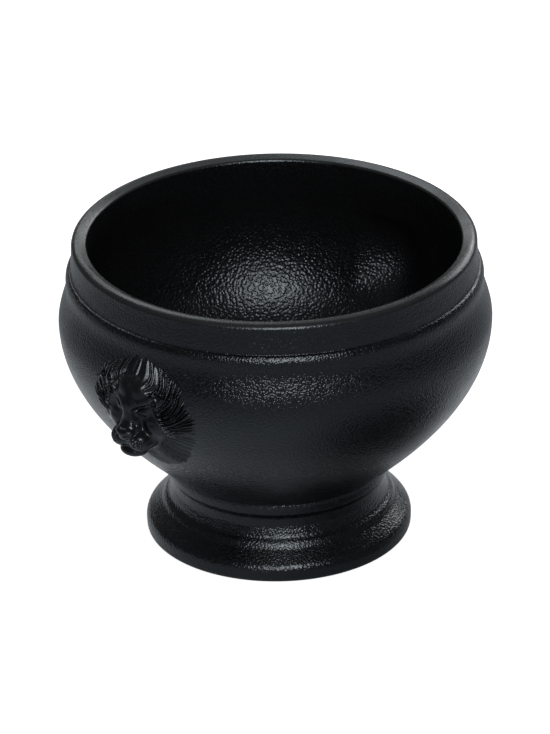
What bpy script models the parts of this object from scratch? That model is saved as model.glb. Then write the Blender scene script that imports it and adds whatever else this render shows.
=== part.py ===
"""Footed soup cup with a lion mask on each side: bowl, foot and two masks, each its own piece of clay."""
import math
from collections import namedtuple

import bmesh
import bpy
from mathutils import Vector
from mathutils.geometry import interpolate_bezier

# All sizes in metres. Heights of the foot start at the table, heights of the bowl at its flat base.
JOINT_GAP = 0.0003

# Foot, from the table up
FOOT_HEIGHT = 0.0213
FOOT_RADIUS = 0.03875
FOOT_EDGE_ROUND = 0.0031
FOOT_UNDER_ROUND = 0.0006
FOOT_RING_WIDTH = 0.0036
FLANGE_ANGLE = math.radians(47)
SPREAD_HEIGHT = 0.0086
SPREAD_RADIUS = 0.0341
STEP_HEIGHT = 0.0100
STEP_RADIUS = 0.03335
FLARE_HEIGHT = 0.0111
FLARE_RADIUS = 0.03205
WAIST_HEIGHT = 0.0141
WAIST_RADIUS = 0.03095
GROOVE_HEIGHT = 0.0173
GROOVE_RADIUS = 0.0307
BEAD_LOW = 0.0192
BEAD_MIDDLE = 0.0202
BEAD_RADIUS = 0.0325
CORNER_ROUND = 0.0005
BORE_RADIUS = 0.0262
BORE_LENGTH = 0.0090

# Bowl, from its base up
BOWL_HEIGHT = 0.0709
BASE_RADIUS = 0.0323
NECK_RADIUS = 0.0314
NECK_HEIGHT = 0.0006
NECK_RUN = 0.0109
NECK_RISE = 0.0080
BELLY_RADIUS = 0.0625
BELLY_HEIGHT = 0.0454
BELLY_DROP = 0.0200
SHOULDER_HEIGHT = 0.0569
SHOULDER_FALL = 0.0022
LEDGE_RADIUS = 0.0601
LEDGE_HEIGHT = 0.05945
LEDGE_ROUND = 0.0032
BAND_RADIUS = 0.0586
RIM_RADIUS = 0.0580
LIP_OUTER_ROUND = 0.0027
LIP_INNER_ROUND = 0.0013
WALL = 0.0042
BASE_THICKNESS = 0.0050

# Hollow pressed into the wall behind each mask; the wall's outside follows it by a share
HOLLOW_DEPTH = 0.0062
HOLLOW_WIDTH = 0.0270
HOLLOW_TALL = 0.0270
HOLLOW_HEIGHT = 0.0404
HOLLOW_ROUND = 0.12
HOLLOW_FOLLOW = 0.66

# Lion mask, measured from its middle on the wall
MASK_HEIGHT = 0.0371
MASK_WIDTH = 0.0376
MASK_TALL = 0.0390
LOW_NARROWING = 0.16
MANE_RISE = 0.0034
MANE_EDGE = 0.0007
MANE_SWEEP = 1.2
TUFT_DEPTH = 0.0005
FACE_BLEND = 0.0012
MUZZLE_REACH = 0.0072

# Rounded forms of the face: centre out from the wall, to the side and up, then half sizes
Form = namedtuple("Form", "out side up deep wide tall")
FACE = Form(out=-0.0020, side=0.0, up=0.0020, deep=0.0059, wide=0.0088, tall=0.0108)
FOREHEAD = Form(out=0.0004, side=0.0018, up=0.0096, deep=0.0046, wide=0.0044, tall=0.0046)
CHEEK = Form(out=0.0002, side=0.0062, up=0.0004, deep=0.0038, wide=0.0037, tall=0.0043)
BROW = Form(out=0.0038, side=0.0030, up=0.0074, deep=0.0015, wide=0.0031, tall=0.0016)
HIGH_BRIDGE = Form(out=0.0034, side=0.0, up=0.0040, deep=0.0033, wide=0.0029, tall=0.0064)
LOW_BRIDGE = Form(out=0.0046, side=0.0, up=-0.0006, deep=0.0030, wide=0.0034, tall=0.0034)
MUZZLE = Form(out=0.0017, side=0.0, up=-0.0042, deep=0.0047, wide=0.0070, tall=0.0043)
WHISKER_PAD = Form(out=0.0040, side=0.0031, up=-0.0042, deep=0.0037, wide=0.0034, tall=0.0032)
CHIN = Form(out=0.0032, side=0.0, up=-0.0080, deep=0.0036, wide=0.0042, tall=0.0020)
NOSE = Form(out=0.0069, side=0.0, up=-0.0012, deep=0.0022, wide=0.0031, tall=0.0016)
EAR = Form(out=0.0026, side=0.0075, up=0.0086, deep=0.0020, wide=0.0020, tall=0.0022)
EYE_HOLLOW = Form(out=0.0062, side=0.0040, up=0.0046, deep=0.0024, wide=0.0023, tall=0.0017)

# Fineness of the meshes
FOOT_STEPS = 64
BOWL_STEPS = 80
MASK_SPOKES = 72


def clear_scene():
    """Start from an empty scene."""
    for old in list(bpy.data.objects):
        bpy.data.objects.remove(old, do_unlink=True)


def arc(centre, radius, start, end, count):
    """Points of a circular arc; angles in degrees from the outward direction."""
    points = []
    for i in range(count + 1):
        turn = math.radians(start + (end - start) * i / count)
        points.append((centre[0] + radius * math.cos(turn), centre[1] + radius * math.sin(turn)))
    return points


def bezier(start, handle_start, handle_end, end, count):
    """Points of a cubic curve in the outline's plane."""
    knots = [Vector((p[0], p[1], 0.0)) for p in (start, handle_start, handle_end, end)]
    return [(p.x, p.y) for p in interpolate_bezier(*knots, count + 1)]


def joined(*pieces):
    """One outline from several, without doubled points."""
    outline = []
    for piece in pieces:
        for point in piece:
            if not outline or math.dist(point, outline[-1]) > 0.00002:
                outline.append(point)
    return outline


def rounded(points, size):
    """An outline with its inner corners cut round."""
    outline = [points[0]]
    for before, corner, after in zip(points, points[1:], points[2:]):
        cuts = []
        for other in (before, after):
            share = min(size / math.dist(corner, other), 0.45)
            cuts.append(tuple(corner[i] + (other[i] - corner[i]) * share for i in range(2)))
        middle = tuple((cuts[0][i] + 2 * corner[i] + cuts[1][i]) / 4 for i in range(2))
        outline += [cuts[0], middle, cuts[1]]
    return outline + [points[-1]]


def bowl_outside():
    """Outer outline of the bowl from the lip down to the edge of its base."""
    crest = RIM_RADIUS - LIP_OUTER_ROUND
    inner = arc((crest, BOWL_HEIGHT - LIP_INNER_ROUND), LIP_INNER_ROUND, 180, 90, 3)
    outer = arc((crest, BOWL_HEIGHT - LIP_OUTER_ROUND), LIP_OUTER_ROUND, 90, 0, 5)
    ledge = arc((LEDGE_RADIUS - LEDGE_ROUND, LEDGE_HEIGHT), LEDGE_ROUND, 50, 0, 5)
    corner = BAND_RADIUS + (ledge[0][0] - BAND_RADIUS) * 0.3
    band_foot = [(BAND_RADIUS, ledge[0][1] + 0.0013), (corner, ledge[0][1] + 0.0003)]
    shoulder = bezier(
        (LEDGE_RADIUS, SHOULDER_HEIGHT),
        (LEDGE_RADIUS, SHOULDER_HEIGHT - SHOULDER_FALL),
        (BELLY_RADIUS, BELLY_HEIGHT + (SHOULDER_HEIGHT - BELLY_HEIGHT) * 0.61),
        (BELLY_RADIUS, BELLY_HEIGHT),
        7,
    )
    belly = bezier(
        (BELLY_RADIUS, BELLY_HEIGHT),
        (BELLY_RADIUS, BELLY_HEIGHT - BELLY_DROP),
        (NECK_RADIUS + NECK_RUN, NECK_HEIGHT + NECK_RISE),
        (NECK_RADIUS, NECK_HEIGHT),
        12,
    )
    neck = rounded([belly[-2], belly[-1], (BASE_RADIUS, 0.0)], NECK_HEIGHT)
    return joined(inner, outer, band_foot, ledge, shoulder, belly[:-1], neck)


def bowl_inside():
    """Inner outline of the bowl from the middle of its floor up to the lip."""
    widest = BELLY_RADIUS - WALL
    height = BELLY_HEIGHT - 0.001
    mouth = RIM_RADIUS - LIP_OUTER_ROUND - LIP_INNER_ROUND
    lip_foot = BOWL_HEIGHT - LIP_INNER_ROUND
    rise = lip_foot - height
    floor = bezier(
        (0.0, BASE_THICKNESS),
        (widest * 0.58, BASE_THICKNESS),
        (widest, BASE_THICKNESS + (height - BASE_THICKNESS) * 0.34),
        (widest, height),
        11,
    )
    neck = bezier(
        (widest, height),
        (widest, height + rise * 0.42),
        (mouth, lip_foot - rise * 0.33),
        (mouth, lip_foot),
        5,
    )
    return joined(floor, neck)


def foot_outline():
    """Closed outline of the foot: down its outside, across its base, up its bore."""
    top = [(GROOVE_RADIUS, FOOT_HEIGHT), (BEAD_RADIUS - 0.0002, FOOT_HEIGHT)]
    bead = [(BEAD_RADIUS, BEAD_MIDDLE), (BEAD_RADIUS - 0.0003, BEAD_LOW)]
    bead.append((GROOVE_RADIUS + 0.0003, BEAD_LOW - 0.001))
    waist = [(GROOVE_RADIUS, GROOVE_HEIGHT), (WAIST_RADIUS, WAIST_HEIGHT), (FLARE_RADIUS, FLARE_HEIGHT)]
    step = [(STEP_RADIUS, STEP_HEIGHT), (SPREAD_RADIUS, SPREAD_HEIGHT)]
    edge_centre = (FOOT_RADIUS - FOOT_EDGE_ROUND, FOOT_EDGE_ROUND)
    edge = arc(edge_centre, FOOT_EDGE_ROUND, math.degrees(FLANGE_ANGLE), 0, 4)
    under = arc((FOOT_RADIUS - FOOT_UNDER_ROUND, FOOT_UNDER_ROUND), FOOT_UNDER_ROUND, 0, -90, 2)
    ring_inside = edge_centre[0] - FOOT_RING_WIDTH
    bore_foot = (BORE_RADIUS, FOOT_HEIGHT - BORE_LENGTH)
    hollow = bezier(
        (ring_inside, 0.0),
        (ring_inside - 0.0016, bore_foot[1] * 0.5),
        (BORE_RADIUS, bore_foot[1] * 0.6),
        bore_foot,
        4,
    )
    mouldings = rounded(top + bead + waist + step + edge[:1], CORNER_ROUND)
    return joined(mouldings, edge, under, hollow, [(BORE_RADIUS, FOOT_HEIGHT)])


def hollow_depth(side, height):
    """How far the inside of the wall is pressed out behind a mask."""
    across = max(1 - math.sqrt((side / (HOLLOW_WIDTH / 2)) ** 2 + HOLLOW_ROUND ** 2), 0.0)
    along = max(1 - ((height - HOLLOW_HEIGHT) / (HOLLOW_TALL / 2)) ** 2, 0.0)
    return HOLLOW_DEPTH * across * along


def wall_bulge(side, height):
    """How far the outside of the wall follows the hollow."""
    depth = hollow_depth(side, height)
    return HOLLOW_FOLLOW * depth * depth / HOLLOW_DEPTH


def bowl_mesh(inside, outside):
    """The bowl as rings about its axis, pressed out to both sides behind the masks."""
    bm = bmesh.new()
    rings = []
    for outline, push in ((inside[1:], hollow_depth), (outside[1:], wall_bulge)):
        for radius, height in outline:
            ring = []
            for i in range(BOWL_STEPS):
                turn = math.tau * i / BOWL_STEPS
                x = radius * math.cos(turn)
                y = radius * math.sin(turn)
                ring.append(bm.verts.new((x + math.copysign(push(y, height), x), y, height)))
            rings.append(ring)
    for upper, lower in zip(rings, rings[1:]):
        for i in range(BOWL_STEPS):
            j = (i + 1) % BOWL_STEPS
            bm.faces.new((upper[i], lower[i], lower[j], upper[j]))
    for ring, height in ((rings[0], inside[0][1]), (rings[-1], outside[-1][1])):
        centre = bm.verts.new((0.0, 0.0, height))
        for i in range(BOWL_STEPS):
            bm.faces.new((ring[i], ring[(i + 1) % BOWL_STEPS], centre))
    bmesh.ops.recalc_face_normals(bm, faces=bm.faces)
    for face in bm.faces:
        face.smooth = True
    mesh = bpy.data.meshes.new("bowl")
    bm.to_mesh(mesh)
    bm.free()
    return mesh


def turned(name, outline, finish, parent):
    """A piece turned about the cup's axis from its closed outline."""
    count = len(outline)
    mesh = bpy.data.meshes.new(name)
    mesh.from_pydata([(x, 0.0, z) for x, z in outline], [(i, (i + 1) % count) for i in range(count)], [])
    piece = bpy.data.objects.new(name, mesh)
    bpy.context.scene.collection.objects.link(piece)
    turn = piece.modifiers.new("turn", "SCREW")
    turn.axis = "Z"
    turn.angle = math.tau
    turn.steps = FOOT_STEPS
    turn.render_steps = FOOT_STEPS
    turn.use_merge_vertices = True
    turn.merge_threshold = 0.00001
    turn.use_smooth_shade = True
    mesh.materials.append(finish)
    piece.parent = parent


def wall_radius(outside, height):
    """Radius of the bowl's outer outline at a height."""
    for upper, lower in zip(outside, outside[1:]):
        if lower[1] <= height <= upper[1] and upper[1] > lower[1]:
            share = (height - lower[1]) / (upper[1] - lower[1])
            return lower[0] + (upper[0] - lower[0]) * share
    return outside[-1][0]


def wall_out(outside, side, up):
    """Distance of the bowl's turned wall from its axis plane, at a place on the mask."""
    radius = wall_radius(outside, MASK_HEIGHT + up)
    return math.sqrt(max(radius * radius - side * side, 0.0))


def seat_out(outside, side, up):
    """Distance of the mask's back, which follows the bulge of the wall."""
    return wall_out(outside, side, up) + wall_bulge(side, MASK_HEIGHT + up) + JOINT_GAP


def blended(low, high, width):
    """Greater of two values with a rounded change-over."""
    near = max(width - abs(low - high), 0.0) / width
    return max(low, high) + near * near * width / 4


def form_height(form, side, up):
    """Half depth of a rounded form over one place, or nothing beside it."""
    across = (abs(side) - form.side) / form.wide
    along = (up - form.up) / form.tall
    left = 1 - across * across - along * along
    return form.deep * math.sqrt(left) if left > 0 else None


def mask_front(outside, side, up, tuft):
    """Front of the mask: the mane on the wall with the rounded forms of the face on it."""
    spread = math.hypot(side / (MASK_WIDTH / 2), up / (MASK_TALL / 2))
    mane = MANE_EDGE + (MANE_RISE - MANE_EDGE) * max(1 - spread * spread, 0.0)
    mane += tuft * TUFT_DEPTH * min(spread, 1.0)
    front = wall_out(outside, side, up) + JOINT_GAP + mane
    seat = wall_radius(outside, MASK_HEIGHT)
    forms = (FACE, FOREHEAD, CHEEK, BROW, HIGH_BRIDGE, LOW_BRIDGE, MUZZLE, WHISKER_PAD, CHIN, NOSE, EAR)
    for form in forms:
        rise = form_height(form, side, up)
        if rise is not None:
            front = blended(front, seat + form.out + rise, FACE_BLEND)
    depth = form_height(EYE_HOLLOW, side, up)
    if depth is not None:
        front = -blended(-front, depth - seat - EYE_HOLLOW.out, FACE_BLEND)
    return front


def border_reach(direction):
    """Distance from the muzzle's middle to the border of the mask, which narrows towards the bottom."""
    half_tall = MASK_TALL / 2
    across, along = direction
    reach = half_tall
    for _ in range(12):
        low = min(max(-(MUZZLE.up + along * reach) / (half_tall * 0.84), 0.0), 1.0)
        half_wide = MASK_WIDTH / 2 * (1 - LOW_NARROWING * low * low * (3 - 2 * low))
        a = (across / half_wide) ** 2 + (along / half_tall) ** 2
        b = MUZZLE.up * along / half_tall ** 2
        d = (MUZZLE.up / half_tall) ** 2 - 1
        reach = (-b + math.sqrt(b * b - a * d)) / a
    return reach


def lion_mask(outside):
    """Closed relief: rings that spread from the muzzle, with a back that follows the wall."""
    bm = bmesh.new()
    hub_up = MUZZLE.up
    turns = [math.tau * i / MASK_SPOKES for i in range(MASK_SPOKES)]
    directions = [(math.sin(turn), math.cos(turn)) for turn in turns]

    def place(side, up, out):
        return bm.verts.new((out, side, MASK_HEIGHT + up))

    muzzle_rings = [0.26, 0.5, 0.7, 0.86, 0.98]
    mane_rings = [0.06, 0.15, 0.25, 0.36, 0.47, 0.58, 0.7, 0.81, 0.91, 1.0]
    front_rings = []
    for share in muzzle_rings:
        ring = []
        for c, s in directions:
            side = c * MUZZLE_REACH * share
            up = hub_up + s * MUZZLE_REACH * share
            ring.append(place(side, up, mask_front(outside, side, up, 0)))
        front_rings.append(ring)
    for share in mane_rings:
        ring = []
        for i, turn in enumerate(turns):
            bent = turn + MANE_SWEEP * share * (1 - share) ** 2 * math.sin(turn)
            direction = (math.sin(bent), math.cos(bent))
            reach = MUZZLE_REACH + (border_reach(direction) - MUZZLE_REACH) * share
            side = direction[0] * reach
            up = hub_up + direction[1] * reach
            tuft = 1 if i % 2 else -1
            ring.append(place(side, up, mask_front(outside, side, up, tuft)))
        front_rings.append(ring)
    back_rings = []
    for share in (1.0, 0.96, 0.92, 0.88, 0.83, 0.77, 0.7, 0.6, 0.48, 0.34, 0.17):
        ring = []
        for c, s in directions:
            reach = border_reach((c, s)) * share
            side = c * reach
            up = hub_up + s * reach
            ring.append(place(side, up, seat_out(outside, side, up)))
        back_rings.append(ring)
    rings = front_rings + back_rings
    for inner, outer in zip(rings, rings[1:]):
        for i in range(MASK_SPOKES):
            j = (i + 1) % MASK_SPOKES
            bm.faces.new((inner[i], outer[i], outer[j], inner[j]))
    tip = place(0.0, hub_up, mask_front(outside, 0.0, hub_up, 0))
    middle = place(0.0, hub_up, seat_out(outside, 0.0, hub_up))
    for ring, centre in ((front_rings[0], tip), (back_rings[-1], middle)):
        for i in range(MASK_SPOKES):
            bm.faces.new((ring[i], ring[(i + 1) % MASK_SPOKES], centre))
    bmesh.ops.recalc_face_normals(bm, faces=bm.faces)
    for face in bm.faces:
        face.smooth = True
    mesh = bpy.data.meshes.new("lion_mask")
    bm.to_mesh(mesh)
    bm.free()
    return mesh


def glaze(name, roughness):
    """Black glaze of one piece."""
    finish = bpy.data.materials.new(name)
    finish.use_nodes = True
    shader = finish.node_tree.nodes["Principled BSDF"]
    shader.inputs["Base Color"].default_value = (0.012, 0.012, 0.014, 1.0)
    shader.inputs["Roughness"].default_value = roughness
    return finish


def build():
    """Put the four pieces together on one empty."""
    clear_scene()
    cup = bpy.data.objects.new("soup_cup", None)
    bpy.context.scene.collection.objects.link(cup)
    turned("foot", foot_outline(), glaze("foot_glaze", 0.45), cup)
    outside = bowl_outside()
    bowl = bpy.data.objects.new("bowl", bowl_mesh(bowl_inside(), outside))
    bpy.context.scene.collection.objects.link(bowl)
    bowl.data.materials.append(glaze("bowl_glaze", 0.45))
    bowl.parent = cup
    bowl.location.z = FOOT_HEIGHT + JOINT_GAP
    for name, turn in (("lion_head_right", 0.0), ("lion_head_left", math.pi)):
        mesh = lion_mask(outside)
        mesh.materials.append(glaze(name + "_glaze", 0.35))
        mask = bpy.data.objects.new(name, mesh)
        bpy.context.scene.collection.objects.link(mask)
        mask.parent = bowl
        mask.rotation_euler.z = turn


build()
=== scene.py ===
import math

import bpy
import numpy as np
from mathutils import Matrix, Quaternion, Vector
from mathutils.geometry import interpolate_bezier


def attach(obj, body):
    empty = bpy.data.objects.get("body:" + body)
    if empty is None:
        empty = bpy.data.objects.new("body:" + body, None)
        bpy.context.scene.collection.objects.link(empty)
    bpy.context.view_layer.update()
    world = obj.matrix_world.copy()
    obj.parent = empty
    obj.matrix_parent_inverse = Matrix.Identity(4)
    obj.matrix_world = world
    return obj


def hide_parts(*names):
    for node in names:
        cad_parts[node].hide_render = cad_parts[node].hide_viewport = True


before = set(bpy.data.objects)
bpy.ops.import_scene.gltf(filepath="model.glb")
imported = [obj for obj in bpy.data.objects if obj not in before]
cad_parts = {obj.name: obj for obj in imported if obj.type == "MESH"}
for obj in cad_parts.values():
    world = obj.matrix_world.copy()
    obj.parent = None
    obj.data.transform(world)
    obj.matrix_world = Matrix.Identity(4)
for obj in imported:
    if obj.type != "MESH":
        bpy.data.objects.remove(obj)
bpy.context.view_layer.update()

# Sizes of the cup in millimetres and degrees; the bowl's heights start at its base, the foot's at the table
MM = 0.001
BOWL_BASE = 21.6
TURN_STEPS = 288
SAME_POINT = 0.02
CREASE_ANGLE = 60.0

FOOT = dict(
    height=21.55, radius=38.75, edge=3.1, flange=47.0,
    under_side=0.1, under_rise=0.5, under_round=0.6,
    spread=8.6, spread_radius=34.1, step_height=10.0, step_radius=33.35,
    waist_low=11.1, waist_wide=32.05, waist=14.1, waist_radius=30.95,
    groove=30.85, groove_height=16.3, groove_lip=0.3,
    bead=32.4, bead_height=20.5, bead_top=0.3, bead_low=18.4, bead_tuck=0.1, bead_fall=1.2,
    ring=3.6, hollow_run=1.6, hollow_low=0.5, hollow_high=0.6, bore=26.2, bore_length=9.0,
    soft=0.40, spacing=0.25,
)
BOWL = dict(
    height=70.55, belly=62.5, belly_height=45.4, belly_drop=20.0,
    neck=32.15, neck_run=10.15, neck_rise=8.6, neck_soft=0.8, neck_spacing=0.5,
    shoulder=56.4, shoulder_top=0.5, shoulder_fall=2.6, shoulder_swell=0.41,
    ledge=60.1, ledge_height=58.75, ledge_round=3.6, ledge_turn=42,
    band=58.6, band_corner=0.15, band_low=3.0, band_high=5.0, rim=58.2,
    lip_outer=1.3, lip_turn=42, lip_crest=2.6, lip_top=85, lip_edge=0.5, lip_slope=112, lip_inner=1.0,
    mouth=53.7, mouth_fall=0.33, wall=4.2, floor=5.0, floor_flat=0.58, floor_rise=0.34,
    inner_drop=1.0, inner_swell=0.42,
    soft=0.17, spacing=0.15,
)
MASK = dict(
    height=37.1, wide=37.6, tall=39.0, narrowing=0.16, narrowed_at=16.0,
    border=1.06, border_slope=17.0, sunk=1.0, melt=1.0,
)
BLOCK = dict(back=-13.0, front=14.6, side=20.6, tall=21.4, grid=0.20, lean_step=0.3)
PRESS = dict(depth=6.2, wide=13.5, tall=13.5, height=40.4, round=0.12, follow=0.66)


# Outlines of the turned pieces

def arc(centre, radius, start, end, count):
    """Points of a circular arc; degrees from the outward direction."""
    turns = np.radians(np.linspace(start, end, count + 1))
    return [(centre[0] + radius * math.cos(t), centre[1] + radius * math.sin(t)) for t in turns]


def sweep(start, handle_start, handle_end, end, count):
    """Points of a cubic curve in the outline's plane."""
    knots = [Vector((p[0], p[1], 0.0)) for p in (start, handle_start, handle_end, end)]
    return [(p.x, p.y) for p in interpolate_bezier(*knots, count + 1)]


def joined(*runs):
    """One outline from several runs, without doubled points."""
    outline = []
    for run in runs:
        for point in run:
            if not outline or math.dist(point, outline[-1]) > SAME_POINT:
                outline.append(point)
    return outline


def softened(outline, step, width):
    """The outline with evenly spaced points and every corner rounded; its two ends stay in place."""
    path = np.array(outline)
    along = np.concatenate([[0.0], np.cumsum(np.hypot(*np.diff(path, axis=0).T))])
    places = np.linspace(0.0, along[-1], max(int(along[-1] / step), 8) + 1)
    even = np.stack([np.interp(places, along, path[:, i]) for i in range(2)], axis=1)
    reach = int(math.ceil(3.0 * width / step))
    weights = np.exp(-0.5 * (np.arange(-reach, reach + 1) * step / width) ** 2)
    weights /= weights.sum()
    before = 2.0 * even[0] - even[reach:0:-1]
    after = 2.0 * even[-1] - even[-2:-2 - reach:-1]
    longer = np.concatenate([before, even, after])
    smooth = np.stack([np.convolve(longer[:, i], weights, "valid") for i in range(2)], axis=1)
    return [tuple(p) for p in smooth.tolist()]


def lip_middles():
    """Middles of the lip's rounds from outside in: outer, top, edge, and inner below the slope behind it."""
    b = BOWL
    turn = math.radians(b["lip_turn"])
    top = math.radians(b["lip_top"])
    slope = math.radians(b["lip_slope"])
    reach = b["lip_crest"] - b["lip_outer"]
    outer_radius = b["rim"] - b["lip_outer"]
    crest = (outer_radius - reach * math.cos(turn), b["height"] - b["lip_crest"])
    outer = (outer_radius, crest[1] + reach * math.sin(turn))
    reach = b["lip_crest"] - b["lip_edge"]
    edge = (crest[0] + reach * math.cos(top), crest[1] + reach * math.sin(top))
    inner_radius = b["mouth"] + b["lip_inner"]
    ease = b["lip_edge"] - b["lip_inner"]
    fall = (ease + (edge[0] - inner_radius) * math.cos(slope)) / math.sin(slope)
    inner = (inner_radius, edge[1] + fall)
    return outer, crest, edge, inner


def bowl_outside():
    """From the inner side of the lip over it and down to the edge of the base."""
    b = BOWL
    outer, crest, edge, inner = lip_middles()
    crown = arc(inner, b["lip_inner"], 180, b["lip_slope"], 10)
    crown += arc(edge, b["lip_edge"], b["lip_slope"], b["lip_top"], 6)
    crown += arc(crest, b["lip_crest"], b["lip_top"], b["lip_turn"], 12)
    crown += arc(outer, b["lip_outer"], b["lip_turn"], 0, 10)
    ledge_middle = (b["ledge"] - b["ledge_round"], b["ledge_height"])
    ledge = arc(ledge_middle, b["ledge_round"], b["ledge_turn"], 0, 10)
    corner = (b["band"], ledge[0][1] + b["band_corner"])
    band = sweep(crown[-1], (b["rim"], b["height"] - b["band_high"]),
                 (b["band"], corner[1] + b["band_low"]), corner, 12)
    swell = (b["shoulder"] - b["belly_height"]) * b["shoulder_swell"]
    shoulder = sweep((b["ledge"], b["shoulder"] + b["shoulder_top"]),
                     (b["ledge"], b["shoulder"] - b["shoulder_fall"]),
                     (b["belly"], b["belly_height"] + swell),
                     (b["belly"], b["belly_height"]), 18)
    belly = sweep((b["belly"], b["belly_height"]), (b["belly"], b["belly_height"] - b["belly_drop"]),
                  (b["neck"] + b["neck_run"], b["neck_rise"]), (b["neck"], 0.0), 60)
    step = softened(joined(band, ledge, shoulder), b["spacing"], b["soft"])
    neck = softened(belly, b["neck_spacing"], b["neck_soft"])
    return joined(crown, step, neck)


def bowl_inside():
    """From the middle of the floor up to the lip."""
    b = BOWL
    widest = b["belly"] - b["wall"]
    height = b["belly_height"] - b["inner_drop"]
    mouth = b["mouth"]
    lip_foot = lip_middles()[-1][1]
    rise = lip_foot - height
    floor = sweep((0.0, b["floor"]), (widest * b["floor_flat"], b["floor"]),
                  (widest, b["floor"] + (height - b["floor"]) * b["floor_rise"]), (widest, height), 64)
    neck = sweep((widest, height), (widest, height + rise * b["inner_swell"]),
                 (mouth, lip_foot - rise * b["mouth_fall"]), (mouth, lip_foot), 32)
    return joined(floor, neck)


def foot_outline():
    """Closed: down the outside, across the base, up the bore."""
    f = FOOT
    bead = [(f["bead"] - f["bead_top"], f["height"]), (f["bead"], f["bead_height"]),
            (f["bead"] - f["bead_tuck"], f["bead_low"]),
            (f["groove"] + f["groove_lip"], f["bead_low"] - f["bead_fall"])]
    turns = [(f["groove"], f["groove_height"]), (f["waist_radius"], f["waist"]),
             (f["waist_wide"], f["waist_low"]), (f["step_radius"], f["step_height"]),
             (f["spread_radius"], f["spread"])]
    edge_centre = (f["radius"] - f["edge"], f["edge"])
    edge = arc(edge_centre, f["edge"], f["flange"], 0, 12)
    under = [(f["radius"] - f["under_side"], f["under_rise"]), (f["radius"] - f["under_round"], 0.0),
             (edge_centre[0], 0.0)]
    outside = softened(joined(bead, turns, edge, under), f["spacing"], f["soft"])
    ring = edge_centre[0] - f["ring"]
    bore = (f["bore"], f["height"] - f["bore_length"])
    hollow = sweep((ring, 0.0), (ring - f["hollow_run"], bore[1] * f["hollow_low"]),
                   (f["bore"], bore[1] * f["hollow_high"]), bore, 14)
    return joined(outside, hollow, [(f["bore"], f["height"])])


def piece_from(name, points, faces):
    """A smooth-shaded object from points in millimetres."""
    mesh = bpy.data.meshes.new(name)
    mesh.from_pydata((np.asarray(points) * MM).tolist(), [], faces)
    mesh.update()
    mesh.shade_smooth()
    piece = bpy.data.objects.new(name, mesh)
    bpy.context.scene.collection.objects.link(piece)
    return piece


def pressed(y, z):
    """How far the inside of the bowl is pressed out behind the masks."""
    across = np.maximum(1.0 - np.sqrt((y / PRESS["wide"]) ** 2 + PRESS["round"] ** 2), 0.0)
    down = np.maximum(1.0 - ((z - PRESS["height"]) / PRESS["tall"]) ** 2, 0.0)
    return PRESS["depth"] * across * down


def bulged(y, z):
    """How far the wall's outside follows, under the masks."""
    return PRESS["follow"] * pressed(y, z) ** 2 / PRESS["depth"]


def turned(name, outline, closed, lift, inner_points=0):
    """A piece turned about the cup's axis; one with inner points is pressed out behind the masks."""
    points = []
    rings = []
    for place, (r, z) in enumerate(outline):
        if r < SAME_POINT:
            rings.append([len(points)])
            points.append((0.0, 0.0, z + lift))
            continue
        first = len(points)
        for i in range(TURN_STEPS):
            turn = math.tau * i / TURN_STEPS
            out = r
            if inner_points:
                push = pressed if place < inner_points else bulged
                out += push(r * math.sin(turn), z)
            points.append((out * math.cos(turn), out * math.sin(turn), z + lift))
        rings.append(list(range(first, first + TURN_STEPS)))
    pairs = list(zip(rings, rings[1:]))
    if closed:
        pairs.append((rings[-1], rings[0]))
    faces = []
    for upper, lower in pairs:
        for i in range(TURN_STEPS):
            j = (i + 1) % TURN_STEPS
            if len(upper) == 1:
                faces.append((upper[0], lower[i], lower[j]))
            elif len(lower) == 1:
                faces.append((upper[i], lower[0], upper[j]))
            else:
                faces.append((upper[i], lower[i], lower[j], upper[j]))
    piece = piece_from(name, points, faces)
    piece.data.set_sharp_from_angle(angle=math.radians(CREASE_ANGLE))
    return piece


# Carving of the lion mask: rounded lumps of clay that melt together, then cuts

def lump(p, centre, half):
    """Distance to an ellipsoid."""
    q = [(p[i] - centre[i]) / half[i] for i in range(3)]
    near = np.sqrt(q[0] ** 2 + q[1] ** 2 + q[2] ** 2)
    slope = np.sqrt((q[0] / half[0]) ** 2 + (q[1] / half[1]) ** 2 + (q[2] / half[2]) ** 2)
    return near * (near - 1.0) / np.maximum(slope, 1e-6)


def roll(p, start, end, thick_start, thick_end):
    """Distance to a tapered roll of clay between two points."""
    run = [end[i] - start[i] for i in range(3)]
    length = sum(v * v for v in run)
    t = sum((p[i] - start[i]) * run[i] for i in range(3)) / length
    t = np.clip(t, 0.0, 1.0)
    gap = np.sqrt(sum((p[i] - start[i] - t * run[i]) ** 2 for i in range(3)))
    return gap - (thick_start + (thick_end - thick_start) * t)


def melted(a, b, width):
    """Two forms joined with a soft seam."""
    near = np.maximum(width - np.abs(a - b), 0.0) / width
    return np.minimum(a, b) - near * near * width * 0.25


def carved(a, cut, width):
    """A form with another taken out of it, with a soft edge."""
    return -melted(-a, cut, width)


def eased(value, low, high):
    """Soft step from 0 to 1."""
    t = np.clip((value - low) / (high - low), 0.0, 1.0)
    return t * t * (3.0 - 2.0 * t)


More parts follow.
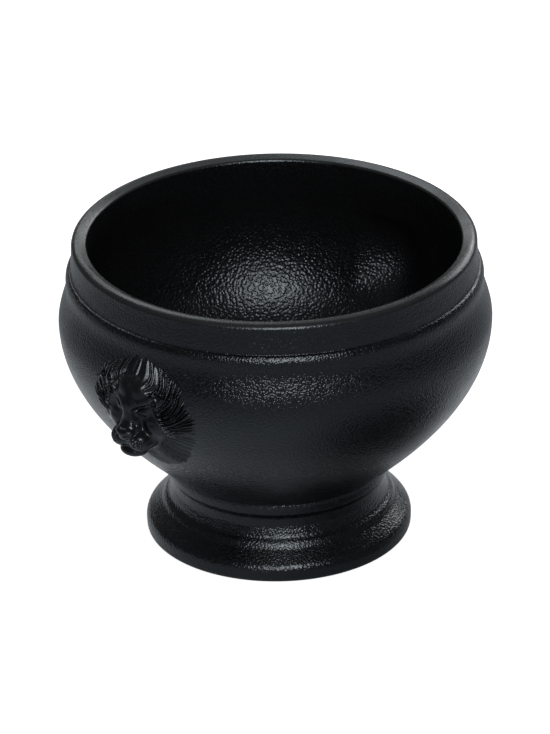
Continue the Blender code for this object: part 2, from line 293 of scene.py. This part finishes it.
# Steps of the face in order: the work, the width of its seam, the form and its measures (out, aside and up)
SKULL = ((-2.0, 0.0, 2.0), (5.9, 8.8, 10.8))
WHISKER_PAD = ((4.0, 3.1, -4.2), (3.7, 3.4, 3.2))
FACE_STEPS = dict(
    forehead=(melted, 1.6, lump, (0.4, 1.8, 9.6), (4.6, 4.4, 4.6)),
    cheek=(melted, 1.4, lump, (0.2, 6.2, 0.4), (3.8, 3.7, 4.3)),
    brow=(melted, 1.0, roll, (5.0, 1.3, 6.5), (3.1, 5.0, 8.2), 1.35, 1.0),
    high_bridge=(melted, 1.3, lump, (3.4, 0.0, 4.0), (3.3, 2.9, 6.4)),
    low_bridge=(melted, 1.2, lump, (4.6, 0.0, -0.6), (3.0, 3.4, 3.4)),
    muzzle=(melted, 1.6, lump, (1.7, 0.0, -4.2), (4.7, 7.0, 4.3)),
    whisker_pad=(melted, 0.5, lump, *WHISKER_PAD),
    chin=(melted, 0.6, lump, (3.2, 0.0, -8.0), (3.6, 4.2, 2.0)),
    nose=(melted, 0.6, lump, (6.9, 0.0, -1.2), (2.2, 3.1, 1.6)),
    nose_tip=(melted, 0.6, lump, (7.3, 0.0, -2.2), (1.4, 1.7, 1.5)),
    eye_hollow=(carved, 1.3, lump, (5.6, 4.0, 4.6), (2.3, 2.3, 1.6)),
    eye=(melted, 0.3, lump, (2.8, 3.9, 4.5), (1.6, 1.7, 1.3)),
    eyelid=(melted, 0.8, roll, (4.2, 2.4, 4.1), (3.1, 5.4, 5.7), 0.45, 0.35),
    cheek_fold=(carved, 1.0, roll, (5.8, 3.0, 1.0), (4.2, 7.4, 1.6), 0.4, 0.3),
    nostril=(carved, 0.3, roll, (8.9, 1.2, -1.9), (8.2, 2.6, -1.4), 0.6, 0.4),
    split_lip=(carved, 0.4, roll, (8.4, 0.0, -3.8), (7.0, 0.0, -6.2), 0.45, 0.5),
    mouth=(carved, 0.4, roll, (7.0, 0.0, -6.2), (6.8, 3.1, -7.5), 0.5, 0.5),
    mouth_corner=(carved, 0.4, roll, (6.8, 3.1, -7.5), (4.0, 7.0, -5.4), 0.5, 0.5),
)
WHISKER_DOTS = dict(
    rows=3, columns=3, pitch=0.95, slant=0.2, side=0.2, up=1.3, half=(0.5, 0.36, 0.36), seam=0.25,
)
EAR = dict(form=((2.6, 7.5, 8.6), (2.0, 2.0, 2.2)), hollow=((4.4, 7.6, 8.3), (2.0, 1.3, 1.5)), seam=0.4)

# The mane: zones are turns from straight up in radians, places run from the hairline (0) to the border (1)
MANE = dict(
    middle=1.0, hairline=9.0, forelock=2.4, beard=1.6, beard_zone=(1.7, 3.0), longest=1.3,
    bow=1.3, bow_loss=1.0, bow_zone=(0.5, 1.1),
    lift=0.16, crest_lift=0.16, crest_start=(0.2, 0.6), crest_end=(0.9, 1.5),
    droop=0.18, droop_zone=(1.5, 2.2),
    wave=0.035, wave_along=6.0, wave_round=3.0,
    strands=8.4, flank_strands=3.2, flank_from=0.7, beard_strands=3.4, beard_from=1.35,
    uneven=0.22, uneven_pace=2.7, uneven_start=0.6, parting=2.5,
    ridge=0.50, ridge_middle=0.34, ridge_mean=0.76, ridge_range=0.24, ridge_seed=(12.9898, 1.3),
    low_zone=(1.2, 1.9), flank_start=(0.45, 0.9), flank_end=(1.15, 1.85),
    swell=2.5, swell_fall=1.25, sunk=0.25, border_fall=1.2,
    layer=0.9, layer_tip=0.50, layer_range=0.20, layer_seed=(7.23, 0.4), layer_point=0.30,
    layer_root=(-0.15, 0.05), layer_fade=(0.10, 0.05),
    root_depth=1.15, low_loss=0.74, tip_depth=0.40, low_tip_loss=0.1, depth_fall=0.55,
    top_depth=0.55, top_gain=0.45, top_zone=(0.15, 0.6), flank_depth=0.30,
    root=(-0.10, 0.10), end=0.97, end_range=0.10, end_seed=(5.1, 2.0), end_fade=(0.12, 0.04),
    tuft=0.55, tuft_place=0.80, tuft_range=0.08, tuft_seed=(3.7, 0.0), tuft_width=0.11,
)


def mane_spread(side, up):
    """Share of the way from the mask's middle to its border, which narrows towards the bottom."""
    half = MASK["wide"] / 2 * (1.0 - MASK["narrowing"] * eased(-up, 0.0, MASK["narrowed_at"]))
    return np.sqrt((side / half) ** 2 + (up / (MASK["tall"] / 2)) ** 2)


def varied(number, pace, start):
    """A value from -1 to 1 that differs from strand to strand."""
    return np.sin(number * pace + start)


def faded(along, end, fade):
    """Soft step from 0 to 1 about the end of a strand."""
    before, after = fade
    return eased(along, end - before, end + after)


def combed(turn, along, near):
    """Turn at which a strand leaves the hairline, from where it passes."""
    m = MANE
    bow = m["bow"] - m["bow_loss"] * eased(turn, *m["bow_zone"])
    crest = m["crest_lift"] * eased(turn, *m["crest_start"]) * (1.0 - eased(turn, *m["crest_end"]))
    rising = m["lift"] + crest - m["droop"] * eased(turn, *m["droop_zone"])
    swing = rising * near ** 1.5 - bow * near * (1.0 - near) ** 2
    comb = turn + swing * np.tanh(m["parting"] * turn)
    return comb + m["wave"] * np.sin(m["wave_along"] * along + m["wave_round"] * turn) * np.sin(turn)


def mane_rise(side, up):
    """Height of the mane over the wall: combed strands in two layers that fade into the wall."""
    m = MANE
    turn = np.arctan2(side, up - m["middle"])
    reach = np.sqrt(side ** 2 + (up - m["middle"]) ** 2)
    hairline = m["hairline"] + m["forelock"] * np.maximum(np.cos(turn), 0.0) ** 3
    hairline = hairline + m["beard"] * eased(turn, *m["beard_zone"])
    border = reach / np.maximum(mane_spread(side, up), 0.05)
    share = (reach - hairline) / (border - hairline)
    along = np.clip(share, 0.0, m["longest"])
    near = np.minimum(along, 1.0)

    comb = combed(turn, along, near)
    even = m["strands"] * comb + m["flank_strands"] * np.maximum(comb - m["flank_from"], 0.0)
    even = even + m["beard_strands"] * np.maximum(comb - m["beard_from"], 0.0) ** 2
    strand = even + m["uneven"] * np.sin(m["uneven_pace"] * even + m["uneven_start"]) + 0.5
    number = np.floor(strand)
    across = np.abs(2.0 * (strand - number) - 1.0)
    ridge = np.exp(-(across / m["ridge"]) ** 2)
    vary = m["ridge_mean"] + m["ridge_range"] * varied(number, *m["ridge_seed"])

    low_side = eased(turn, *m["low_zone"])
    flank = eased(turn, *m["flank_start"]) * (1.0 - eased(turn, *m["flank_end"]))
    base = m["swell"] * (1.0 - near) ** m["swell_fall"] - m["sunk"]
    base = base - m["border_fall"] * np.clip(along - 1.0, 0.0, 1.0)
    tip = m["layer_tip"] + m["layer_range"] * varied(number, *m["layer_seed"]) - m["layer_point"] * across
    layer = m["layer"] * flank * (1.0 - faded(along, tip, m["layer_fade"])) * eased(share, *m["layer_root"])
    depth = (m["root_depth"] - m["low_loss"] * low_side) * (1.0 - near) ** m["depth_fall"]
    depth = depth + m["tip_depth"] - m["low_tip_loss"] * low_side
    depth = depth * (m["top_depth"] + m["top_gain"] * eased(turn, *m["top_zone"]))
    depth = depth + m["flank_depth"] * flank * near
    end = m["end"] + m["end_range"] * varied(number, *m["end_seed"])
    depth = depth * eased(share, *m["root"]) * (1.0 - faded(along, end, m["end_fade"]))
    place = along - m["tuft_place"] - m["tuft_range"] * varied(number, *m["tuft_seed"])
    tuft = m["tuft"] * flank * np.exp(-(place / m["tuft_width"]) ** 2)
    return base + layer + depth * (ridge * vary - m["ridge_middle"]) + tuft * ridge


def whisker_dots():
    """Middles of the dots on the surface of the whisker pad."""
    d = WHISKER_DOTS
    centre, half = WHISKER_PAD
    for row in range(d["rows"]):
        for column in range(d["columns"]):
            side = centre[1] + d["side"] + d["pitch"] * column
            up = centre[2] + d["up"] - d["pitch"] * row - d["slant"] * column
            fall = ((side - centre[1]) / half[1]) ** 2 + ((up - centre[2]) / half[2]) ** 2
            yield centre[0] + half[0] * math.sqrt(max(1.0 - fall, 0.0)), side, up


def lion_field(out, side, up, wall):
    """Signed distance to the carved mask; wall is the height over the bowl's wall."""
    p = (out, side, up)
    face = lump(p, *SKULL)
    for work, seam, form, *measures in FACE_STEPS.values():
        face = work(face, form(p, *measures), seam)
    for dot in whisker_dots():
        face = carved(face, lump(p, dot, WHISKER_DOTS["half"]), WHISKER_DOTS["seam"])
    mane = wall - mane_rise(side, up)
    head = melted(mane, face, MASK["melt"])
    ear = carved(lump(p, *EAR["form"]), lump(p, *EAR["hollow"]), EAR["seam"])
    head = melted(head, ear, EAR["seam"])
    head = np.maximum(head, (mane_spread(side, up) - MASK["border"]) * MASK["border_slope"])
    seat = bulged(side, up + MASK["height"]) - MASK["sunk"]
    return np.maximum(head, seat - wall)


def skin_of(field, low, step):
    """Points and quads of the surface where a field of distances is zero."""
    inside = field < 0.0
    cells = tuple(n - 1 for n in field.shape)
    total = np.zeros(cells + (3,), np.float32)
    count = np.zeros(cells, np.float32)
    crossings = []
    for axis in range(3):
        near = [slice(None)] * 3
        far = [slice(None)] * 3
        near[axis] = slice(0, -1)
        far[axis] = slice(1, None)
        a = field[tuple(near)]
        b = field[tuple(far)]
        crossing = inside[tuple(near)] != inside[tuple(far)]
        at = np.argwhere(crossing)
        share = a[crossing] / (a[crossing] - b[crossing])
        place = at.astype(np.float32)
        place[:, axis] += share
        crossings.append((axis, at, inside[tuple(near)][crossing]))
        others = [i for i in range(3) if i != axis]
        for d0 in (0, 1):
            for d1 in (0, 1):
                cell = at.copy()
                cell[:, others[0]] -= d0
                cell[:, others[1]] -= d1
                good = np.all((cell >= 0) & (cell < np.array(cells)), axis=1)
                where = tuple(cell[good].T)
                np.add.at(total, where, place[good])
                np.add.at(count, where, 1.0)
    used = count > 0
    number = np.full(cells, -1, np.int64)
    number[used] = np.arange(int(used.sum()))
    points = np.array(low) + step * (total[used] / count[used][:, None])
    quads = []
    for axis, at, starts_inside in crossings:
        u, v = [(1, 2), (2, 0), (0, 1)][axis]
        corners = []
        for du, dv in ((1, 1), (0, 1), (0, 0), (1, 0)):
            cell = at.copy()
            cell[:, u] -= du
            cell[:, v] -= dv
            corners.append(cell)
        good = np.all([np.all((c >= 0) & (c < np.array(cells)), axis=1) for c in corners], axis=0)
        ring = np.stack([number[tuple(c[good].T)] for c in corners], axis=1)
        flip = ~starts_inside[good]
        ring[flip] = ring[flip][:, ::-1]
        quads.append(ring)
    return points, np.concatenate(quads)


def lion_mask(outside):
    """Points and quads of one mask on the +X side of the bowl, carved from a block about its middle."""
    heights = np.array([z for r, z in outside])[::-1]
    radii = np.array([r for r, z in outside])[::-1]
    seat = float(np.interp(MASK["height"], heights, radii))
    grid = BLOCK["grid"]
    out = np.arange(BLOCK["back"], BLOCK["front"], grid)
    half = np.arange(0.0, BLOCK["side"], grid)
    up = np.arange(-BLOCK["tall"], BLOCK["tall"], grid)
    o, s, u = np.meshgrid(out, half, up, indexing="ij")
    z = u + MASK["height"]
    radius = np.interp(z, heights, radii)
    step = BLOCK["lean_step"]
    lean = (np.interp(z + step, heights, radii) - np.interp(z - step, heights, radii)) / (2.0 * step)
    wall = (np.hypot(o + seat, s) - radius) / np.sqrt(1.0 + lean ** 2)
    field = lion_field(o, s, u, wall).astype(np.float32)
    whole = np.concatenate([field[:, :0:-1, :], field], axis=1)
    low = (out[0] + seat, -half[-1], up[0] + MASK["height"] + BOWL_BASE)
    return skin_of(whole, low, grid)


outside = bowl_outside()
inside = bowl_inside()
bowl = turned("bowl_body", joined(inside, outside, [(0.0, 0.0)]), False, BOWL_BASE, len(inside) - 2)
foot = turned("foot_body", foot_outline(), True, 0.0)
points, quads = lion_mask(outside)
half_turn = np.array([-1.0, -1.0, 1.0])
mask_right = piece_from("lion_mask_right", points, quads.tolist())
mask_left = piece_from("lion_mask_left", points * half_turn, quads.tolist())

for piece, node, slot in ((bowl, "bowl", "textured_black_glaze"), (foot, "foot", "textured_black_glaze"),
                          (mask_right, "lion_head_right", "smooth_black_glaze"),
                          (mask_left, "lion_head_left", "smooth_black_glaze")):
    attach(piece, "root")
    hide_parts(node)

# Glazes: pebbles and relief in millimetres, the lip's heights in metres, roughness where smooth and dull
PEBBLES = dict(wander=0.45, shift=0.8, melt=0.5, top=0.1, foot=0.75, fine=1.3,
               dome_share=0.6, fine_share=0.4)
POOLS = dict(scale=90.0, low=0.3, high=0.7)
# The lip's lighter, greenish colour is a painted sheen of the light that the lip's top catches.
LIP = dict(start=0.0904, end=0.0912, calm=0.72, dull=0.05, colour=(0.0145, 0.0165, 0.0160, 1.0))
# The darker second colour of each glaze, used in the pits between the pebbles, is painted shade.
OUTER_GLAZE = dict(size=0.62, dome_tint=(0.0066, 0.0067, 0.0082, 1.0), pit_shade=(0.0002, 0.0002, 0.0003, 1.0),
                   smooth=0.19, dull=0.25)
INNER_GLAZE = dict(size=0.88, dome_tint=(0.0060, 0.0062, 0.0068, 1.0), pit_shade=(0.0036, 0.0037, 0.0041, 1.0),
                   smooth=0.24, dull=0.30)
MASK_GLAZE = dict(size=0.5, dome_tint=(0.0040, 0.0042, 0.0048, 1.0), pit_shade=(0.0026, 0.0027, 0.0031, 1.0),
                  smooth=0.20, dull=0.28)
GLAZE_INDEX = 1.5
GLAZE_SHEEN = (0.84, 0.93, 1.0, 1.0)


def add(tree, kind, inputs=None, **settings):
    """A node with its settings; inputs are values or the sockets that feed them."""
    made = tree.nodes.new("ShaderNode" + kind)
    for key, value in settings.items():
        setattr(made, key, value)
    for key, value in (inputs or {}).items():
        if isinstance(value, bpy.types.NodeSocket):
            tree.links.new(value, made.inputs[key])
        else:
            made.inputs[key].default_value = value
    return made


def maths(tree, operation, first, second):
    """Result of one step of arithmetic."""
    return add(tree, "Math", {0: first, 1: second}, operation=operation).outputs[0]


def ranged(tree, value, from_low, from_high, to_low, to_high):
    """A value carried over softly from one range to another."""
    inputs = {"Value": value, "From Min": from_low, "From Max": from_high,
              "To Min": to_low, "To Max": to_high}
    return add(tree, "MapRange", inputs, interpolation_type="SMOOTHSTEP").outputs["Result"]


def between(tree, share, first, second):
    """A colour between two others; the colour sockets of a Mix node go by number."""
    return add(tree, "Mix", {0: share, 6: first, 7: second}, data_type="RGBA").outputs[2]


def pebbled_grain():
    """Grain like rough cast iron: rounded pebbles of a given size in millimetres, fading towards the lip."""
    group = bpy.data.node_groups.new("pebbled_grain", "ShaderNodeTree")
    group.interface.new_socket("Size", in_out="INPUT", socket_type="NodeSocketFloat")
    for name in ("Height", "Pooling", "Lip"):
        group.interface.new_socket(name, in_out="OUTPUT", socket_type="NodeSocketFloat")
    size = group.nodes.new("NodeGroupInput").outputs["Size"]
    end = group.nodes.new("NodeGroupOutput")
    place = add(group, "TexCoord").outputs["Object"]
    scale = maths(group, "DIVIDE", 1.0 / MM, size)

    slow = maths(group, "MULTIPLY", scale, PEBBLES["wander"])
    wander = add(group, "TexNoise", {"Vector": place, "Scale": slow, "Detail": 2.0}).outputs["Color"]
    shift = add(group, "VectorMath", {0: wander, 1: (0.5, 0.5, 0.5)}, operation="SUBTRACT").outputs[0]
    far = maths(group, "DIVIDE", PEBBLES["shift"], scale)
    shift = add(group, "VectorMath", {0: shift, "Scale": far}, operation="SCALE").outputs[0]
    moved = add(group, "VectorMath", {0: place, 1: shift}, operation="ADD").outputs[0]

    inputs = {"Vector": moved, "Scale": scale, "Smoothness": PEBBLES["melt"]}
    cells = add(group, "TexVoronoi", inputs, feature="SMOOTH_F1").outputs["Distance"]
    dome = ranged(group, cells, PEBBLES["top"], PEBBLES["foot"], 1.0, 0.0)
    fine = maths(group, "MULTIPLY", scale, PEBBLES["fine"])
    rough = add(group, "TexNoise", {"Vector": moved, "Scale": fine, "Detail": 3.0}).outputs["Fac"]
    height = maths(group, "ADD", maths(group, "MULTIPLY", dome, PEBBLES["dome_share"]),
                   maths(group, "MULTIPLY", rough, PEBBLES["fine_share"]))

    up = add(group, "SeparateXYZ", {0: place}).outputs["Z"]
    lip = ranged(group, up, LIP["start"], LIP["end"], 0.0, 1.0)
    calm = maths(group, "SUBTRACT", 1.0, maths(group, "MULTIPLY", lip, LIP["calm"]))
    broad = add(group, "TexNoise", {"Vector": place, "Scale": POOLS["scale"], "Detail": 3.0}).outputs["Fac"]
    pools = ranged(group, broad, POOLS["low"], POOLS["high"], 0.0, 1.0)
    group.links.new(maths(group, "MULTIPLY", height, calm), end.inputs["Height"])
    group.links.new(pools, end.inputs["Pooling"])
    group.links.new(lip, end.inputs["Lip"])
    return group


GRAIN = pebbled_grain()


def glaze(name, size, relief, dome_tint, pit_shade, smooth, dull):
    """Black glaze over the grain, with painted shade in the pits between its pebbles, and a calmer, duller
    lip whose lighter colour is a painted sheen.
    """
    finish = bpy.data.materials.new(name)
    finish.use_nodes = True
    tree = finish.node_tree
    shader = tree.nodes["Principled BSDF"]
    grain = add(tree, "Group", {"Size": size}, node_tree=GRAIN).outputs
    # Darker colour in the pits between the pebbles: painted shade.
    shaded_pits_mix = between(tree, grain["Height"], pit_shade, dome_tint)
    # The lip's lighter colour: painted sheen.
    tree.links.new(between(tree, grain["Lip"], shaded_pits_mix, LIP["colour"]), shader.inputs["Base Color"])
    gloss = maths(tree, "ADD", ranged(tree, grain["Pooling"], 0.0, 1.0, dull, smooth),
                  maths(tree, "MULTIPLY", grain["Lip"], LIP["dull"]))
    tree.links.new(gloss, shader.inputs["Roughness"])
    bump = add(tree, "Bump", {"Strength": 1.0, "Distance": relief * MM, "Height": grain["Height"]})
    tree.links.new(bump.outputs["Normal"], shader.inputs["Normal"])
    shader.inputs["IOR"].default_value = GLAZE_INDEX
    shader.inputs["Specular Tint"].default_value = GLAZE_SHEEN
    return finish


bowl.data.materials.append(glaze("outer_glaze", relief=0.125, **OUTER_GLAZE))
bowl.data.materials.append(glaze("inner_glaze", relief=0.17, **INNER_GLAZE))
inner_faces = (len(inside) - 1) * TURN_STEPS
sides = [1 if i < inner_faces else 0 for i in range(len(bowl.data.polygons))]
bowl.data.polygons.foreach_set("material_index", sides)
foot.data.materials.append(glaze("foot_glaze", relief=0.105, **OUTER_GLAZE))
mask_glaze = glaze("mask_glaze", relief=0.03, **MASK_GLAZE)
for piece in (mask_right, mask_left):
    piece.data.materials.append(mask_glaze)

# Pale floor in metres: white to the camera, grey in the cup's reflections, with a painted shadow of the cup
# in one patch and painted falloff of light far out
FLOOR_HALF = 6.0
FLOOR_GLOW = 0.70
FLOOR_ROUGH = 0.9
FLOOR_TINT = (0.93, 0.985, 1.04)
# Painted shadow of the cup on the floor, seen only in the cup's reflections.
PAINTED_CUP_SHADOW = dict(place=(0.004, -0.093, 0.0), start=0.03, end=0.09, shade=0.10)
# Painted falloff: the floor seen in the cup's reflections gets darker away from the cup, standing in for
# light that pools near it.
PAINTED_FALLOFF = dict(start=0.085, end=0.20, shade=0.45)
STUDIO_LIGHT = 0.095
WHITE = (1.0, 1.0, 1.0, 1.0)
BLACK = (0.0, 0.0, 0.0, 1.0)


def paper():
    """Plain paper that shows the camera more light than it gives the cup; in the cup's reflections it
    carries a painted shadow of the cup and painted falloff of light away from it.
    """
    finish = bpy.data.materials.new("paper")
    finish.use_nodes = True
    tree = finish.node_tree
    shader = tree.nodes["Principled BSDF"]
    shader.inputs["Roughness"].default_value = FLOOR_ROUGH
    shader.inputs["Specular IOR Level"].default_value = 0.0
    sight = add(tree, "LightPath").outputs["Is Camera Ray"]
    place = add(tree, "TexCoord").outputs["Object"]
    beside = add(tree, "VectorMath", {0: place, 1: PAINTED_CUP_SHADOW["place"]}, operation="DISTANCE").outputs["Value"]
    around = add(tree, "VectorMath", {0: place, 1: (0.0, 0.0, 0.0)}, operation="DISTANCE").outputs["Value"]
    # Painted shadow of the cup.
    painted_cup_shadow = ranged(tree, beside, PAINTED_CUP_SHADOW["start"], PAINTED_CUP_SHADOW["end"], PAINTED_CUP_SHADOW["shade"], 1.0)
    # Painted falloff of light away from the cup.
    painted_light_falloff = ranged(tree, around, PAINTED_FALLOFF["start"], PAINTED_FALLOFF["end"], 1.0, PAINTED_FALLOFF["shade"])
    falloff = maths(tree, "MULTIPLY", painted_cup_shadow, painted_light_falloff)
    shade = add(tree, "VectorMath", {0: falloff, 1: FLOOR_TINT}, operation="MULTIPLY").outputs[0]
    glow = (FLOOR_GLOW, FLOOR_GLOW, FLOOR_GLOW, 1.0)
    tree.links.new(between(tree, sight, shade, WHITE), shader.inputs["Base Color"])
    tree.links.new(between(tree, sight, BLACK, glow), shader.inputs["Emission Color"])
    shader.inputs["Emission Strength"].default_value = 1.0
    return finish


corners = [(x * FLOOR_HALF, y * FLOOR_HALF, 0.0) for x, y in ((-1, -1), (1, -1), (1, 1), (-1, 1))]
floor_mesh = bpy.data.meshes.new("floor")
floor_mesh.from_pydata(corners, [], [(0, 1, 2, 3)])
floor_mesh.materials.append(paper())
floor = bpy.data.objects.new("floor", floor_mesh)
bpy.context.scene.collection.objects.link(floor)

world = bpy.data.worlds.new("studio")
world.use_nodes = True
world.node_tree.nodes["Background"].inputs["Color"].default_value = WHITE
world.node_tree.nodes["Background"].inputs["Strength"].default_value = STUDIO_LIGHT
bpy.context.scene.world = world

# View and soft lights; a light has its turn from the view, elevation, distance, size and power in watts
VIEW_AZIMUTH = -51.3
VIEW_ELEVATION = 26.72
VIEW_ROLL = 1.03
VIEW_DISTANCE = 1.600
AIM_RIGHT = -0.00040
AIM_UP = 0.04996
FOCAL_HEIGHTS = 5526.4 / 734.0
SENSOR = 36.0
LIGHT_AIM = Vector((0.0, 0.0, 0.05))
LIGHTS = dict(
    front=(4, 31, 2.2, (1.05, 1.05), 27.5),
    top=(180, 66, 1.6, (1.6, 1.0), 3.0),
    key=(-150, 52, 1.8, (0.9, 0.9), 6.0),
    right=(143, 26, 1.8, (0.9, 0.7), 7.4),
    back=(182, 24, 2.0, (2.0, 0.36), 5.0),
)


def way_to(azimuth, elevation):
    """Direction from the cup at an azimuth and an elevation."""
    a = math.radians(azimuth)
    e = math.radians(elevation)
    return Vector((math.sin(a) * math.cos(e), -math.cos(a) * math.cos(e), math.sin(e)))


def softbox(name, azimuth, elevation, distance, size, power):
    """A soft area light aimed at the middle of the cup."""
    lamp = bpy.data.lights.new(name, "AREA")
    lamp.shape = "RECTANGLE"
    lamp.size, lamp.size_y = size
    lamp.energy = power
    holder = bpy.data.objects.new(name, lamp)
    way = way_to(azimuth, elevation)
    holder.location = LIGHT_AIM + way * distance
    holder.rotation_euler = (-way).to_track_quat("-Z", "Y").to_euler()
    holder.visible_camera = False
    bpy.context.scene.collection.objects.link(holder)


for name, (azimuth, *setting) in LIGHTS.items():
    softbox(name, VIEW_AZIMUTH + azimuth, *setting)

camera_data = bpy.data.cameras.new("camera")
camera_data.sensor_width = SENSOR
camera_data.lens = FOCAL_HEIGHTS * SENSOR
camera_data.clip_start = 0.05
camera_data.clip_end = 30.0
camera = bpy.data.objects.new("camera", camera_data)
bpy.context.scene.collection.objects.link(camera)
back = way_to(VIEW_AZIMUTH, VIEW_ELEVATION)
right = Vector((math.cos(math.radians(VIEW_AZIMUTH)), math.sin(math.radians(VIEW_AZIMUTH)), 0.0))
target = right * AIM_RIGHT + Vector((0.0, 0.0, AIM_UP))
camera.location = target + back * VIEW_DISTANCE
camera.rotation_mode = "QUATERNION"
level = (-back).to_track_quat("-Z", "Y")
camera.rotation_quaternion = level @ Quaternion((0.0, 0.0, 1.0), math.radians(-VIEW_ROLL))
bpy.context.scene.camera = camera

bpy.context.scene.view_settings.view_transform = "Standard"
